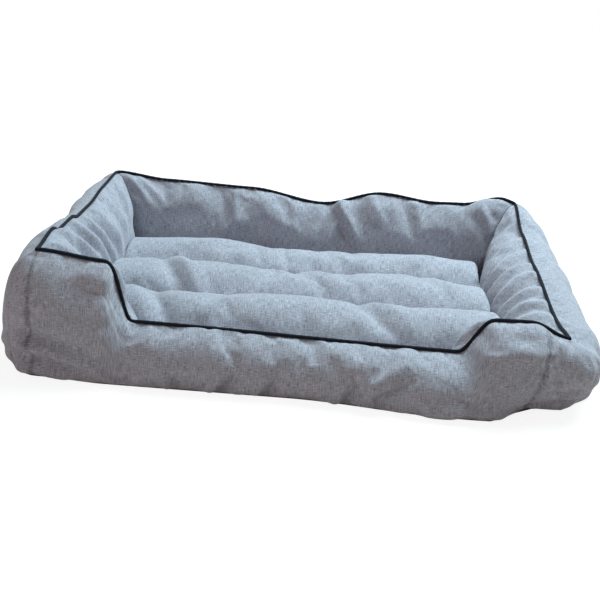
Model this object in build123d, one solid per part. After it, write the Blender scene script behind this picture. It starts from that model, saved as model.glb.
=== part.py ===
"""Dog sofa bed: four stuffed bolster walls on a fabric base, with a loose channelled mattress.

The walls stand on the edge of a flat base panel. Each has an outer and an inner cover panel round a
stuffed filling, and the two panels meet in a ridge that carries the piping. The front wall dips to
a low entry between two wings. The right wall has slumped: its ridge is low and its sides bulge.
Origin: on the floor, below the middle of the rectangle that the ridges form. +X is to the right,
+Y to the back and +Z up. All sizes are in millimetres.
"""

import os
from collections import namedtuple
from math import atan2, cos, hypot, radians, sin

from build123d import *

# The rectangle between the ridges of the walls
ridge_length = 890.0
ridge_depth = 580.0

# Ridge heights over the floor at the four corners
front_left_height = 213.0
back_left_height = 211.0
back_right_height = 206.0
front_right_height = 126.0

# Reach of the walls from the ridge at the corners, outwards and inwards
front_left_out = 61.0
front_left_in = 50.0
back_left_out = 68.0
back_left_in = 54.0
back_right_out = 68.0
back_right_in = 54.0
front_right_out = 74.0
front_right_in = 62.0

# Height of the widest line of the walls
full_waist = 80.0
slumped_waist = 55.0
entry_waist = 40.0

# The slumped right wall at its middle
slump_out = 86.0
slump_in = 84.0

# The front wall: a low entry between the left and the right wing
entry_height_left = 97.0
entry_height_right = 87.0
entry_out = 60.0
entry_in = 48.0
swell_out = 88.0
left_wing_length = 117.0
left_wing_height = 201.0
left_scoop_run = 36.0
right_wing_length = 132.0
right_wing_height = 154.0
right_wing_fall = 66.0
right_scoop_run = 48.0

# Ridges of the other walls: places as shares of the run, heights as shares of the line between corners
back_ridge_shares = ((0.13, 0.95), (0.34, 0.935), (0.52, 0.83), (0.67, 0.985), (0.81, 0.93), (0.94, 1.04))
left_ridge_shares = ((0.18, 1.04), (0.4, 1.005), (0.57, 0.955), (0.77, 1.0))
right_ridge_shares = ((0.2, 0.89), (0.45, 0.865), (0.86, 0.876))
slump_place_shares = (0.3, 0.85)

# Fabric, its base seam and the stuffing
fabric_thickness = 1.2
stuffing_gap = 0.4
seam_gap = 0.3
base_tuck = 16.0
base_thickness = 1.6

# Piping, sewn along the ridges
piping_radius = 3.0
piping_gap = 0.4
piping_sides = 6
piping_corner_radius = 12.0

# Fineness of the soft forms: spacing of a wall's sections, and the turns in degrees at a bend's points
section_spacing = 60.0
rise_weight = 3.2
crest_turns = (0, 40, 82, 90)
foot_turns = (0, 20, 90)
corner_facets = 2
mitre_angle = 45.0
crown_turns = (0, 30, 60, 90)
mattress_end_turns = (0, 15, 30, 45, 60, 75, 90)

# The loose mattress and its three channels
mattress_rise = 0.3
mattress_side_gap = 4.0
mattress_crown = 98.0
channel_height = 76.0
mattress_seam_height = 42.0
mattress_foot_inset = 14.0
mattress_end_share = 0.12
mattress_end_run = 62.0
mattress_end_draw = 16.0
channel_place_shares = (0.34, 0.67)
baffle_thickness = 1.0

# The zips: depth below the fabric's outer face, tapes, teeth and stops
zip_depth = 1.9
zip_tape_reach = 12.0
zip_tape_thickness = 0.6
zip_tape_tail = 18.0
zip_pitch = 9.0
zip_tooth_width = 3.6
zip_tooth_lap = 1.3
zip_tooth_root = 2.4
zip_cord_edge = 3.2
zip_chain_thickness = 1.8
zip_stop_width = 2.4
zip_stop_reach = 4.0
zip_stop_inner_reach = 1.4
zip_stop_thickness = 2.6
zip_end_gap = 0.4
zip_slit_reach = 6.5
zip_slot_gap = 0.5
wall_zip_teeth = 26
mattress_zip_teeth = 20
mattress_zip_place_share = 0.78

# Zip slider: two plates joined by a wedge at the nose
slider_length = 13.0
slider_nose_reach = 5.6
slider_heel_reach = 4.8
slider_corner = 1.4
slider_plate = 0.9
slider_play = 0.25
slider_wedge_length = 3.0
slider_wedge_width = 3.2
slider_rim = 0.8
slider_rim_length = 7.0

# Bridge on the slider and the pull that swings in it
bridge_length = 6.0
bridge_width = 1.6
bridge_height = 3.6
bridge_bar = 1.1
pull_length = 26.0
pull_width = 8.0
pull_thickness = 1.2
pull_eye_length = 4.4
pull_eye_width = 4.0
pull_hole_radius = 2.0
pull_hole_sides = 8
pull_corner = 1.2
cut_overrun = 2.0

Girth = namedtuple("Girth", "height out inn waist")
Wall = namedtuple("Wall", "name corner along outward run ridge girths")

FRONT_LEFT = Girth(front_left_height, front_left_out, front_left_in, full_waist)
BACK_LEFT = Girth(back_left_height, back_left_out, back_left_in, full_waist)
BACK_RIGHT = Girth(back_right_height, back_right_out, back_right_in, full_waist)
FRONT_RIGHT = Girth(front_right_height, front_right_out, front_right_in, slumped_waist)


def save(shape, name):
    """Writes one sub-part."""
    export_step(shape, f"parts/{name}.step")


# Ridge lines


def ease(share):
    """A smooth step from 0 to 1."""
    return share * share * (3 - 2 * share)


def between(table, place):
    """Eased reading of a table of (place, value, ...) rows."""
    for low, high in zip(table, table[1:]):
        if place <= high[0]:
            blend = ease((place - low[0]) / (high[0] - low[0]))
            return [a + (b - a) * blend for a, b in zip(low[1:], high[1:])]
    return list(table[-1][1:])


def soft_ridge(start, end, run, shares):
    """(place, height) rows of a wavy ridge between two corners."""
    inner = [(run * p, (start + (end - start) * p) * h) for p, h in shares]
    return [(0, start), *inner, (run, end)]


def front_ridge():
    """(place, height) rows of the front ridge, from the right corner over the entry to the left."""
    left_top = ridge_length - left_wing_length
    return [
        (0, front_right_height),
        (right_wing_fall, right_wing_height),
        (right_wing_length, right_wing_height),
        (right_wing_length + right_scoop_run, entry_height_right),
        (left_top - left_scoop_run, entry_height_left),
        (left_top, left_wing_height),
        (ridge_length, front_left_height),
    ]


# Walls, clockwise from the front left corner; along and outward are directions on the floor

half_length = ridge_length / 2
half_depth = ridge_depth / 2

LEFT = Wall(
    "left", (-half_length, -half_depth), (0, 1), (-1, 0), ridge_depth,
    soft_ridge(front_left_height, back_left_height, ridge_depth, left_ridge_shares),
    [(0, *FRONT_LEFT[1:]), (1, *BACK_LEFT[1:])],
)
BACK = Wall(
    "back", (-half_length, half_depth), (1, 0), (0, 1), ridge_length,
    soft_ridge(back_left_height, back_right_height, ridge_length, back_ridge_shares),
    [(0, *BACK_LEFT[1:]), (1, *BACK_RIGHT[1:])],
)
RIGHT = Wall(
    "right", (half_length, half_depth), (0, -1), (1, 0), ridge_depth,
    soft_ridge(back_right_height, front_right_height, ridge_depth, right_ridge_shares),
    [(0, *BACK_RIGHT[1:])]
    + [(share, slump_out, slump_in, slumped_waist) for share in slump_place_shares]
    + [(1, *FRONT_RIGHT[1:])],
)
entry_foot_share = (right_wing_length + right_scoop_run) / ridge_length
entry_top_share = 1 - (left_wing_length + left_scoop_run) / ridge_length
swell_end_share = (entry_foot_share + entry_top_share) / 2
FRONT = Wall(
    "front", (half_length, -half_depth), (-1, 0), (0, -1), ridge_length,
    front_ridge(),
    [
        (0, *FRONT_RIGHT[1:]),
        (right_wing_length / ridge_length, swell_out, front_right_in, slumped_waist),
        (entry_foot_share, swell_out, entry_in, entry_waist),
        (swell_end_share, entry_out, entry_in, entry_waist),
        (entry_top_share, entry_out, entry_in, entry_waist),
        (1 - left_wing_length / 2 / ridge_length, entry_out, front_left_in, full_waist),
        (1, *FRONT_LEFT[1:]),
    ],
)
WALLS = (LEFT, BACK, RIGHT, FRONT)


def girth_at(wall, place):
    """The section's sizes at a place along the wall."""
    height = between(wall.ridge, place)[0]
    return Girth(height, *between(wall.girths, place / wall.run))


def places_of(wall):
    """The places of the wall's sections, closer together where the ridge rises."""
    places = [0]
    for low, high in zip(wall.ridge, wall.ridge[1:]):
        run, rise = high[0] - low[0], high[1] - low[1]
        steps = max(1, round(hypot(run, rise * rise_weight) / section_spacing))
        places += [low[0] + run * i / steps for i in range(1, steps + 1)]
    return places


def in_room(wall, place, height):
    """The point over a place on the wall's straight line between its corners."""
    x = wall.corner[0] + wall.along[0] * place
    y = wall.corner[1] + wall.along[1] * place
    return Vector(x, y, height)


def plane_at(wall, place, turn=0):
    """The upright plane across the wall, X outwards and Y up, turned by some degrees."""
    outward, along = (Vector(*way).rotate(Axis.Z, turn) for way in (wall.outward, wall.along))
    return Plane(origin=in_room(wall, place, 0), x_dir=outward, z_dir=along)


def bend(start, end, upright_first, degrees):
    """Points of a quarter of an ellipse that leaves its start upright, or level."""
    (x0, y0), (x1, y1) = start, end
    turns = [radians(turn) for turn in degrees]
    if upright_first:
        return [(x1 + (x0 - x1) * cos(t), y0 + (y1 - y0) * sin(t)) for t in turns]
    return [(x0 + (x1 - x0) * sin(t), y1 + (y0 - y1) * cos(t)) for t in turns]


def outline(points):
    """A face within a closed chain of points, each named once."""
    chain = [p for i, p in enumerate(points) if i == 0 or p != points[i - 1]]
    return make_face(Polyline(*chain, close=chain[0] != chain[-1]))


def half_side(girth, side, inset, gap):
    """Points of one side of the section, from the ridge round the waist to the middle of the base."""
    reach = girth.out if side > 0 else girth.inn
    floor = base_thickness + inset
    widest = (side * (reach - inset), girth.waist)
    top = (side * gap, girth.height - inset)
    foot = (side * (reach - base_tuck), floor)
    crest = bend(top, widest, False, crest_turns)
    return crest + bend(widest, foot, True, foot_turns) + [(side * gap, floor)]


def panel_face(girth, side):
    """The thin section of an outer (side 1) or inner (side -1) cover panel."""
    skin = half_side(girth, side, 0, seam_gap / 2)
    lining = half_side(girth, side, fabric_thickness, seam_gap / 2)
    return outline(skin + lining[::-1])


def stuffing_face(girth):
    """The section of a wall's stuffing."""
    inset = fabric_thickness + stuffing_gap
    return outline(half_side(girth, 1, inset, 0) + half_side(girth, -1, inset, 0)[::-1])


def outer_stuffing_face(girth):
    """The outer half of the stuffing's section, a little clear of the ridge line."""
    return outline(half_side(girth, 1, fabric_thickness + stuffing_gap, seam_gap / 2))


def lofted(wall, face_of):
    """A loft along the wall through its sections."""
    faces = [plane_at(wall, place) * face_of(girth_at(wall, place)) for place in places_of(wall)]
    return loft(faces, ruled=True)


def rounded_corner(wall, face_of, place, way):
    """The outer section carried round the ridge's corner in flat facets, as far as the mitre."""
    half = mitre_angle / corner_facets / 2
    girth = girth_at(wall, place)
    girth = girth._replace(out=girth.out * cos(radians(half)))
    wedges = []
    for i in range(corner_facets):
        middle = way * (2 * i + 1) * half
        wedge = extrude(plane_at(wall, place, middle) * face_of(girth), girth.out, both=True)
        for turn, side in ((middle - way * half, -way), (middle + way * half, way)):
            cut = plane_at(wall, place, turn)
            bound = Plane(origin=cut.origin, z_dir=cut.z_dir * side)
            wedge = split(wedge, bisect_by=bound, keep=Keep.TOP)
        wedges.append(wedge)
    return wedges


def with_corners(wall, body, face_of):
    """The wall with its outer half carried round both corners."""
    for wedge in rounded_corner(wall, face_of, 0, 1) + rounded_corner(wall, face_of, wall.run, -1):
        body += wedge
    return body


def mitred(wall, solid):
    """The wall cut by the mitres of its two corners."""
    for place, way in ((0, 1), (wall.run, -1)):
        normal = Vector(*wall.along) * way + Vector(*wall.outward)
        solid = split(solid, bisect_by=Plane(origin=in_room(wall, place, 0), z_dir=normal), keep=Keep.TOP)
    return solid


def outer_panel(wall):
    def face_of(girth):
        return panel_face(girth, 1)
    return with_corners(wall, lofted(wall, face_of), face_of)


def inner_panel(wall):
    return mitred(wall, lofted(wall, lambda girth: panel_face(girth, -1)))


def stuffing(wall):
    return with_corners(wall, mitred(wall, lofted(wall, stuffing_face)), outer_stuffing_face)


# Piping along the ridges

piping_rise = piping_radius + piping_gap


def piping_end(wall, corner, section, cut):
    """A point near a corner over the straight ridge from the corner to the next section."""
    start, end = girth_at(wall, corner).height, girth_at(wall, section).height
    slope = (end - start) / abs(section - corner)
    place = corner + cut if section > corner else corner - cut
    return in_room(wall, place, start + cut * slope + piping_rise * hypot(1, slope))


def piping_points(wall, start_cut, end_cut):
    """Points of the piping's middle line over one wall, cut short or run on at its ends."""
    places = places_of(wall)
    points = [piping_end(wall, places[0], places[1], start_cut)]
    for before, place, after in zip(places, places[1:], places[2:]):
        low, here, high = (girth_at(wall, p).height for p in (before, place, after))
        slope = (atan2(here - low, place - before) + atan2(high - here, after - place)) / 2
        points.append(in_room(wall, place - piping_rise * sin(slope), here + piping_rise * cos(slope)))
    return points + [piping_end(wall, places[-1], places[-2], end_cut)]


def roll(points):
    """A roll of fabric along a chain of points, mitred at each."""
    ways = [(end - start).normalized() for start, end in zip(points, points[1:])]
    section = Plane(origin=points[0], z_dir=ways[0]) * RegularPolygon(piping_radius, piping_sides)
    rings = [[Vector(*corner) for corner in section.vertices()]]
    for way, next_way, point in zip(ways, ways[1:] + ways[-1:], points[1:]):
        mitre = way + next_way
        rings.append([spot + way * ((point - spot).dot(mitre) / way.dot(mitre)) for spot in rings[-1]])
    return loft([outline(ring) for ring in rings], ruled=True)


def surround_piping():
    """The piping round the left, back and right walls, with its ends over the front corners."""
    bend_run, end = piping_corner_radius, -piping_radius
    points = piping_points(LEFT, end, bend_run) + piping_points(BACK, bend_run, bend_run)
    return roll((points + piping_points(RIGHT, bend_run, end))[::-1])


def front_piping():
    """The piping of the front wall, between the ends of the surround piping."""
    cut = piping_radius + seam_gap
    return roll(piping_points(FRONT, cut, cut))


# Base panel


def base_panel():
    """The bottom fabric, out to the foot of every wall."""
    points = []
    for wall in WALLS:
        for place in places_of(wall):
            reach = girth_at(wall, place).out - base_tuck
            points.append(in_room(wall, place, 0) + Vector(*wall.outward) * reach)
        reach = wall.girths[-1][1] - base_tuck
        for i in range(1, 2 * corner_facets):
            turned = Vector(*wall.outward).rotate(Axis.Z, -mitre_angle * i / corner_facets)
            points.append(in_room(wall, wall.run, 0) + turned * reach)
    return extrude(make_face(Polyline(*points, close=True)), base_thickness)


# Mattress: a cushion with three channels, lofted along X

mattress_left = -half_length + back_left_in + mattress_side_gap
mattress_right = half_length - slump_in - mattress_side_gap
mattress_front = -half_depth + front_right_in + mattress_side_gap
mattress_back = half_depth - back_left_in - mattress_side_gap
mattress_depth = mattress_back - mattress_front
mattress_floor = base_thickness + mattress_rise
channel_seams = [mattress_front + mattress_depth * share for share in channel_place_shares]
channel_edges = [mattress_front, *channel_seams, mattress_back]


def cushion_face(fullness, inset):
    """The cushion across its channels: up over the three crowns and back under the sole."""
    drawn = mattress_end_draw * (1 - fullness) + inset
    crown = mattress_seam_height + (mattress_crown - mattress_seam_height) * fullness - inset
    valley = mattress_seam_height + (channel_height - mattress_seam_height) * fullness - inset
    floor = mattress_seam_height - (mattress_seam_height - mattress_floor) * fullness + inset
    front = (mattress_front + drawn, mattress_seam_height)
    back = (mattress_back - drawn, mattress_seam_height)
    seams = [front, *[(y, valley) for y in channel_seams], back]
    points = []
    for left, right in zip(seams, seams[1:]):
        top = ((left[0] + right[0]) / 2, crown)
        points += bend(left, top, True, crown_turns) + bend(top, right, False, crown_turns)
    front_foot = (front[0] + mattress_foot_inset, floor)
    back_foot = (back[0] - mattress_foot_inset, floor)
    points += bend(back, back_foot, True, crown_turns) + bend(front_foot, front, False, crown_turns)
    return outline(points)


def cushion(inset):
    """The whole cushion as one solid, smaller by inset on every side."""
    rise = bend((0, mattress_end_share), (mattress_end_run, 1), True, mattress_end_turns)
    left, right = mattress_left + inset, mattress_right - inset
    rows = [(left + run, full) for run, full in rise] + [(right - run, full) for run, full in rise[::-1]]
    faces = []
    for x, fullness in rows:
        plane = Plane(origin=(x, 0, 0), x_dir=(0, 1, 0), z_dir=(1, 0, 0))
        faces.append(plane * cushion_face(fullness, inset))
    return loft(faces, ruled=True)


def slab(solid, normal, low, high):
    """The part of a solid between two planes square to an axis."""
    for spot, way in ((low, 1), (high, -1)):
        if spot is not None:
            solid = split(solid, bisect_by=Plane(origin=normal * spot, z_dir=normal * way), keep=Keep.TOP)
    return solid


def mattress_shell():
    return cushion(0) - cushion(fabric_thickness)


def mattress_top_panel():
    return slab(mattress_shell(), Vector(0, 0, 1), mattress_seam_height + seam_gap / 2, None)


def mattress_bottom_panel():
    return slab(mattress_shell(), Vector(0, 0, 1), None, mattress_seam_height - seam_gap / 2)


def channel_stuffing(index):
    """The stuffing of one channel, counted from the front."""
    low, high = channel_edges[index : index + 2]
    gap = baffle_thickness / 2 + stuffing_gap
    core = cushion(fabric_thickness + stuffing_gap)
    return slab(
        core, Vector(0, 1, 0),
        None if index == 0 else low + gap,
        None if index == len(channel_seams) else high - gap,
    )


def baffle(index):
    """The upright seam of fabric between two channels."""
    spot = channel_seams[index]
    core = cushion(fabric_thickness + stuffing_gap)
    return slab(core, Vector(0, 1, 0), spot - baffle_thickness / 2, spot + baffle_thickness / 2)


# Zips, drawn flat: X along the zip, Y across it, Z outwards, and 0 at the fabric's outer face

tape_middle = -zip_depth - zip_tape_thickness / 2
slider_half = zip_chain_thickness / 2 + slider_play
plate_top = tape_middle + slider_half + slider_plate
pull_axis_height = plate_top + (bridge_height - bridge_bar) / 2


def block(low, high):
    """A box between two opposite corners."""
    size = [b - a for a, b in zip(low, high)]
    centre = [(a + b) / 2 for a, b in zip(low, high)]
    return Pos(*centre) * Box(*size)


def plate(outline, middle, thickness):
    """A flat outline made into a plate about a height."""
    return Pos(0, 0, middle - thickness / 2) * extrude(outline, thickness)


def row_of_teeth(length, side):
    """The outline of one edge of teeth: a cord with a tooth at every pitch."""
    end = length / 2
    edge, root, lap = side * zip_cord_edge, side * zip_tooth_root, -side * zip_tooth_lap
    first = zip_pitch / 4 if side > 0 else zip_pitch * 3 / 4
    half = zip_tooth_width / 2
    points = [(-end, edge), (-end, root)]
    for i in range(round(length / zip_pitch)):
        x = -end + first + zip_pitch * i
        points += [(x - half, root), (x - half, lap), (x + half, lap), (x + half, root)]
    return make_face(Polyline(*points, (end, root), (end, edge), close=True))


def zip_tape(length, side):
    """One tape of the zip with its edge of teeth."""
    end = length / 2 + zip_tape_tail
    low, high = sorted((side * zip_tooth_root, side * zip_tape_reach))
    tape = Pos(0, (low + high) / 2) * Rectangle(2 * end, high - low)
    return plate(tape, tape_middle, zip_tape_thickness) + plate(
        row_of_teeth(length, side), tape_middle, zip_chain_thickness
    )


def zip_start_stop(length, side):
    """The clamp on one tape that stops the slider when the zip is closed."""
    low = length / 2 + slider_wedge_length + 2 * zip_end_gap
    near, far = sorted((side * zip_stop_inner_reach, side * zip_stop_reach))
    clamp = Pos(low + zip_stop_width / 2, (near + far) / 2) * Rectangle(zip_stop_width, far - near)
    root, past = sorted((side * zip_tooth_root, side * (zip_stop_reach + cut_overrun)))
    mouth = Pos(low + zip_stop_width / 2, (root + past) / 2) * Rectangle(2 * zip_stop_width, past - root)
    return plate(clamp, tape_middle, zip_stop_thickness) - plate(mouth, tape_middle, zip_tape_thickness)


def zip_end_stop(length):
    """The clamp over both tapes at the other end."""
    spot = Pos(-length / 2 - zip_end_gap - zip_stop_width / 2, 0)
    stop = plate(spot * Rectangle(zip_stop_width, 2 * zip_stop_reach), tape_middle, zip_stop_thickness)
    for side in (1, -1):
        mouth = Pos(0, side * (zip_tooth_root + zip_stop_reach)) * Rectangle(
            2 * zip_stop_width, 2 * zip_stop_reach
        )
        stop -= plate(spot * mouth, tape_middle, zip_tape_thickness)
    return stop


def slider_rest(length):
    """Where the slider's middle is when the zip is closed."""
    return length / 2 + slider_wedge_length + zip_end_gap - slider_length / 2


def zip_slider():
    """Two plates with rims over the tapes, joined by the wedge that parts the teeth."""
    nose, heel = slider_length / 2, -slider_length / 2
    outline = make_face(Polyline(
        (heel, -slider_heel_reach), (nose, -slider_nose_reach),
        (nose, slider_nose_reach), (heel, slider_heel_reach), close=True,
    ))
    outline = chamfer(outline.vertices(), slider_corner)
    wedge = make_face(Polyline(
        (nose, -slider_wedge_width / 2), (nose, slider_wedge_width / 2), (nose - slider_wedge_length, 0),
        close=True,
    ))
    body = plate(wedge, tape_middle, 2 * slider_half)
    rim_height = slider_half - zip_tape_thickness / 2 - slider_play
    rim = Pos(0, slider_heel_reach - slider_rim / 2) * Rectangle(slider_rim_length, slider_rim)
    for way in (1, -1):
        body += plate(outline, tape_middle + way * (slider_half + slider_plate / 2), slider_plate)
        for side in (1, -1):
            spot = rim if side > 0 else mirror(rim, about=Plane.XZ)
            body += plate(spot, tape_middle + way * (slider_half - rim_height / 2), rim_height)
    return body


def with_bridge(slider):
    """The slider with the bridge that holds the pull."""
    end, half = bridge_length / 2, bridge_width / 2
    bridge = block((-end, -half, plate_top), (end, half, plate_top + bridge_height))
    opening = block(
        (-end + bridge_bar, -half - cut_overrun, plate_top),
        (end - bridge_bar, half + cut_overrun, plate_top + bridge_height - bridge_bar),
    )
    return slider + (bridge - opening)


def zip_pull():
    """The pull tab lying flat over the closed teeth, with the bar of its eye in the bridge."""
    bar = pull_thickness / 2
    tab = Rectangle(pull_length, pull_width)
    tab = Pos(bar - pull_length / 2, 0) * chamfer(tab.vertices(), pull_corner)
    tab -= Pos(-bar - pull_eye_length / 2, 0) * Rectangle(pull_eye_length, pull_eye_width)
    tab -= Pos(bar - pull_length + pull_width / 2, 0) * RegularPolygon(pull_hole_radius, pull_hole_sides)
    return plate(tab, pull_axis_height, pull_thickness)


def zip_slit(length):
    """What is cut from the cover panel over the zip."""
    end = length / 2 + zip_stop_width + zip_end_gap
    nose = end + slider_wedge_length + 2 * zip_end_gap
    return block((-end, -zip_slit_reach, -zip_depth), (nose, zip_slit_reach, cut_overrun))


def zip_slot(length):
    """What is pressed into the stuffing below the tapes and below the slider's way."""
    end = length / 2 + zip_tape_tail + zip_slot_gap
    reach = zip_tape_reach + zip_slot_gap
    tape_bottom = tape_middle - zip_tape_thickness / 2
    slider_bottom = tape_middle - slider_half - slider_plate - zip_slot_gap
    bed = block((-end, -reach, tape_bottom), (end, reach, cut_overrun))
    way = block((-end, -zip_slit_reach, slider_bottom), (end, zip_slit_reach, cut_overrun))
    return bed + way


# The two zips in their places

wall_zip_length = wall_zip_teeth * zip_pitch
mattress_zip_length = mattress_zip_teeth * zip_pitch

wall_zip_plane = Plane(
    origin=(0, half_depth + back_left_out, full_waist), x_dir=(-1, 0, 0), z_dir=(0, 1, 0)
)
mattress_zip_line = mattress_front + mattress_depth * mattress_zip_place_share
mattress_zip_plane = Plane(
    origin=((mattress_left + mattress_right) / 2, mattress_zip_line, mattress_floor),
    x_dir=(1, 0, 0), z_dir=(0, 0, -1),
)


def save_zip(name, plane, length, side_names):
    """Writes the tapes, stops and slider of one zip, all but its pull."""
    for side, side_name in zip((1, -1), side_names):
        save(plane * zip_tape(length, side), f"{name}_{side_name}_tape")
        save(plane * zip_start_stop(length, side), f"{name}_{side_name}_stop")
    save(plane * zip_end_stop(length), f"{name}_end_stop")


def save_walls():
    """Writes the panels and the stuffing of the four walls."""
    for wall in WALLS:
        outer, filling = outer_panel(wall), stuffing(wall)
        if wall is BACK:
            outer -= wall_zip_plane * zip_slit(wall_zip_length)
            filling -= wall_zip_plane * zip_slot(wall_zip_length)
        save(outer, f"{wall.name}_outer_panel")
        save(inner_panel(wall), f"{wall.name}_inner_panel")
        save(filling, f"{wall.name}_bolster_stuffing")


def save_mattress():
    """Writes the cover, the channels and the quilting seams of the mattress."""
    save(mattress_top_panel(), "mattress_top_panel")
    bottom = mattress_bottom_panel() - mattress_zip_plane * zip_slit(mattress_zip_length)
    save(bottom, "mattress_bottom_panel")
    fillings = [channel_stuffing(index) for index in range(len(channel_seams) + 1)]
    fillings[-1] -= mattress_zip_plane * zip_slot(mattress_zip_length)
    for name, filling in zip(("front", "middle", "back"), fillings):
        save(filling, f"{name}_channel_stuffing")
    for index, name in enumerate(("front", "back")):
        save(baffle(index), f"{name}_quilting_seam")


def main():
    os.makedirs("parts", exist_ok=True)
    save(base_panel(), "base_panel")
    save_walls()
    save(surround_piping(), "surround_piping")
    save(front_piping(), "front_piping")
    save_mattress()
    save_zip("back_zip", wall_zip_plane, wall_zip_length, ("upper", "lower"))
    save_zip("mattress_zip", mattress_zip_plane, mattress_zip_length, ("front", "back"))
    wall_slider = wall_zip_plane * Pos(slider_rest(wall_zip_length), 0, 0)
    save(wall_slider * with_bridge(zip_slider()), "back_zip_slider")
    save(wall_slider * zip_pull(), "back_zip_pull")
    mattress_slider = mattress_zip_plane * Pos(slider_rest(mattress_zip_length), 0, 0)
    save(mattress_slider * zip_slider(), "mattress_zip_slider")


if __name__ == "__main__":
    main()
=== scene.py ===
"""Looks of the dog sofa bed: stuffed covers, piping, loose mattress, zips, light and camera.

All sizes are in metres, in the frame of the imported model. The walls stand round a rectangle of
ridges. Each has an outer and an inner cover panel, drawn here as fine grids, blown up by a short
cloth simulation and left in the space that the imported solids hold.
"""

from collections import namedtuple
from math import atan, cos, exp, hypot, pi, radians, sin

import bmesh
import bpy
import numpy as np
from mathutils import Matrix, Vector, noise


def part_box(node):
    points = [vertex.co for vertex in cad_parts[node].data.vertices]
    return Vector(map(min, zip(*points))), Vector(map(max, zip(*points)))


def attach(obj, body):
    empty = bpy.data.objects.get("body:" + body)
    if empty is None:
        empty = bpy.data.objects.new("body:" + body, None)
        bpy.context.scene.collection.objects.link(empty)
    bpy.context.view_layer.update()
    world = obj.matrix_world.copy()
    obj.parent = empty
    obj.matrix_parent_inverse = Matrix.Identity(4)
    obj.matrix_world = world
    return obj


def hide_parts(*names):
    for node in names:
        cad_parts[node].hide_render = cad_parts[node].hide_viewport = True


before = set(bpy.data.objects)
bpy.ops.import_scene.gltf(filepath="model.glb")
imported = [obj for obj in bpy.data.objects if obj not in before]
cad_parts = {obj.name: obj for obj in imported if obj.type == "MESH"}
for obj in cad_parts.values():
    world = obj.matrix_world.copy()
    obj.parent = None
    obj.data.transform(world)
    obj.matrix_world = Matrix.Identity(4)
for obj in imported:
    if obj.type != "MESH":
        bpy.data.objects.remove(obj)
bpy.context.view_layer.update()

# The ridge rectangle and the walls round it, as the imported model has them
ridge_length = 0.890
ridge_depth = 0.580
half_length = ridge_length / 2
half_depth = ridge_depth / 2
base_tuck = 0.016
base_thickness = 0.0016

# The two sides of a wall
outer, inner = 1, -1

# Fineness of the cloth grids
grid_size = 0.007
wall_rows = 34
profile_steps = 60

# The cloth: its thickness, and how far it wraps round a corner to the mitre
fabric_thickness = 0.0012
corner_reach = 0.068

# How much smaller the unblown shells are, and how far a point may move as they are blown up
swell_room = 0.006
outer_cap = 0.006
inner_cap = 0.010
mattress_cap = 0.008
blow_frames = 20
stuffing_pressure = 4
wall_slack = 0.035
mattress_slack = 0.02

# Lumps of the cloth as (size, height), and the share of them that the outer panels show
wall_lumps = ((0.11, 0.008), (0.045, 0.003))
mattress_lumps = ((0.18, 0.008), (0.05, 0.0015))
mattress_seed = 71
calm_outside = {"left": 0.4, "back": 0.6, "right": 0.35, "front": 0.7}

# The stuffing: how far inside the cloth it lies, its shares of the shell, and how tight it is
wall_stuffing_depth = 0.006
channel_stuffing_depth = 0.007
stuffing_scale = 0.985
wall_stuffing_scale = 0.93
stuffing_height_scale = 0.97
stuffing_end = 0.010
stuffing_end_run = 0.1
channel_gap = 0.001

# How far the cloth over each wall rises beside its piping, and how far from a corner that begins
crown_rise = {"left": 0.013, "back": 0.004, "right": 0.022, "front": 0.002}
crown_start = 0.08

# How square the foot's section is, and how much squarer where it is drawn in
foot_squareness = 0.55
drawn_squareness_gain = 0.8

# A fold's section and ends: the hollow beside its crest, the crest's shape, and its fading
hollow_place, hollow_share = 1.7, 0.6
crest_power = 1.5
fold_ends = 0.3

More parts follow.
